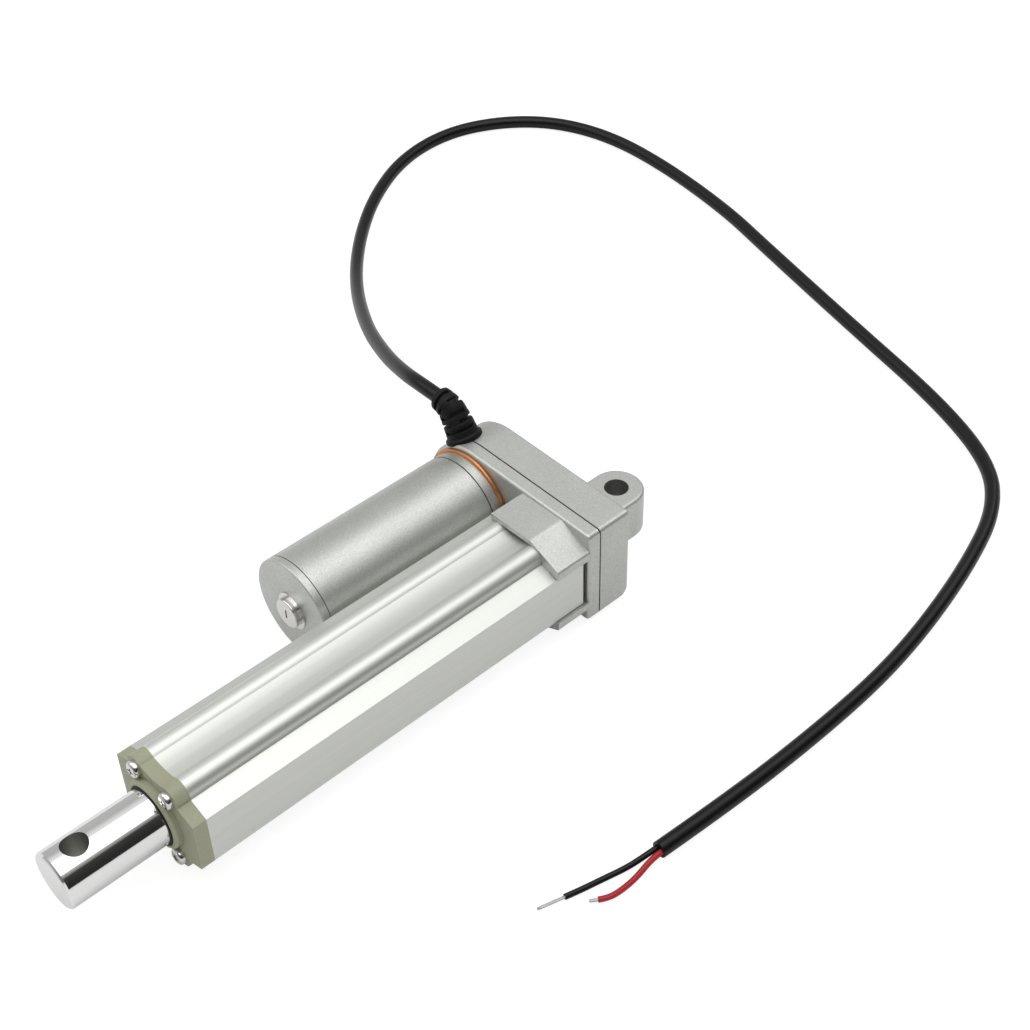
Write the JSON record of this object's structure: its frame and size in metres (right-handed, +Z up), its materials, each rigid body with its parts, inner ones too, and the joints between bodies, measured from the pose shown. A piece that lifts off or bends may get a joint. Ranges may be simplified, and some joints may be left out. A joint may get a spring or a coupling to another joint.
{
  "type": "electric linear actuator",
  "caption": "Small electric linear actuator with a motor beside its aluminium tube, a chrome push rod and a bare-ended cord.",
  "frame": {"origin": "centre of the rear mounting hole", "axes": "+X along the rod, the way it extends; +Z up along both mounting holes; motor on the -Y side"},
  "size_m": [0.4024, 0.3433, 0.0515],
  "materials": {
    "anodised_tube": "clear anodised, faint lengthwise lines",
    "cap_plastic": "moulded, slightly satin",
    "plated_screw": "bright plated",
    "black_rubber": "matt",
    "bronze": "sintered bronze",
    "bearing_steel": "ground steel",
    "painted_casting": "silver paint with fine sparkle",
    "gear_plastic": "moulded, natural white",
    "chrome_rod": "polished chrome",
    "nut_plastic": "moulded, natural white",
    "motor_paint": "silver paint with fine sparkle",
    "magnet_ferrite": "dark grey ferrite",
    "board_plastic": "green laminate",
    "carbon": "dark carbon",
    "copper_seal": "copper coloured seal",
    "core_steel": "stacked sheet steel",
    "copper_wire": "copper",
    "switch_plastic": "moulded black",
    "plunger_plastic": "moulded red",
    "cable_black": "smooth soft cable sheath",
    "wire_black": "smooth insulation",
    "wire_red": "smooth insulation",
    "tinned_strands": "tinned copper"
  },
  "bodies": {
    "frame": {"outer_tube": "anodised_tube", "front_end_cap": "cap_plastic", "front_cap_screws": "plated_screw", "rod_wiper_seal": "black_rubber", "rod_guide_bush": "bronze", "bearing_outer_ring": "bearing_steel", "screw_rear_bush": "bronze", "front_gear_housing": "painted_casting", "rear_gear_housing": "painted_casting", "housing_gasket": "black_rubber", "housing_screws": "plated_screw", "tube_screws": "plated_screw", "tube_gasket": "black_rubber", "idler_axle": "bearing_steel", "idler_washers": "bearing_steel", "motor_can": "motor_paint", "motor_magnets": "magnet_ferrite", "motor_front_plate": "motor_paint", "motor_front_bush": "bronze", "motor_end_cap": "motor_paint", "motor_rear_bush": "bronze", "motor_rear_plug": "motor_paint", "brush_holder": "board_plastic", "carbon_brushes": "carbon", "brush_springs": "bearing_steel", "motor_seal_ring": "copper_seal", "motor_screws": "plated_screw", "limit_switch_board": "board_plastic", "rear_limit_switch": "switch_plastic", "front_limit_switch": "switch_plastic", "board_diodes": "switch_plastic", "cable_boot": "black_rubber", "cable_sheath": "cable_black", "black_wire": "wire_black", "red_wire": "wire_red", "black_wire_strands": "tinned_strands", "red_wire_strands": "tinned_strands"},
    "rotor": {"motor_shaft": "bearing_steel", "motor_pinion": "bronze", "armature_core": "core_steel", "armature_windings": "copper_wire", "commutator": "copper_wire"},
    "idler": {"idler_gear": "gear_plastic"},
    "screw": {"lead_screw": "bearing_steel", "screw_gear": "gear_plastic", "screw_gear_key": "bearing_steel", "screw_spacer": "bearing_steel", "bearing_inner_ring": "bearing_steel"},
    "ball_row": {"bearing_balls": "bearing_steel", "bearing_cage": "bronze"},
    "rod": {"push_rod": "chrome_rod", "drive_nut": "nut_plastic", "nut_pins": "bearing_steel"},
    "rear_plunger": {"rear_switch_plunger": "plunger_plastic"},
    "front_plunger": {"front_switch_plunger": "plunger_plastic"}
  },
  "joints": [
    {"name": "rotor_spin", "type": "hinge", "parent": "frame", "child": "rotor", "pos_m": [0.05, -0.036, 0], "axis": [-1, 0, 0], "range_deg": [0, 72000]},
    {"name": "idler_spin", "type": "hinge", "parent": "frame", "child": "idler", "pos_m": [0.02, -0.0195, 0], "axis": [-1, 0, 0], "range_deg": [-27000, 0]},
    {"name": "screw_spin", "type": "hinge", "parent": "frame", "child": "screw", "pos_m": [0.03, 0, 0], "axis": [-1, 0, 0], "range_deg": [0, 9000]},
    {"name": "ball_orbit", "type": "hinge", "parent": "frame", "child": "ball_row", "pos_m": [0.0307, 0, 0], "axis": [-1, 0, 0], "range_deg": [0, 3600]},
    {"name": "rod_slide", "type": "slide", "parent": "frame", "child": "rod", "axis": [1, 0, 0], "range_m": [0, 0.1]},
    {"name": "rear_plunger_press", "type": "slide", "parent": "frame", "child": "rear_plunger", "axis": [-1, 0, 0], "range_m": [0, 0.0005], "stiffness_N_per_m": 200},
    {"name": "front_plunger_press", "type": "slide", "parent": "frame", "child": "front_plunger", "axis": [1, 0, 0], "range_m": [0, 0.0005], "stiffness_N_per_m": 200}
  ],
  "couplings": [
    {"joint": "idler_spin", "follows": "rotor_spin", "ratio": -0.375},
    {"joint": "screw_spin", "follows": "rotor_spin", "ratio": 0.125},
    {"joint": "ball_orbit", "follows": "rotor_spin", "ratio": 0.05},
    {"joint": "rod_slide", "follows": "rotor_spin", "m_per_rad": 0.000079577}
  ]
}
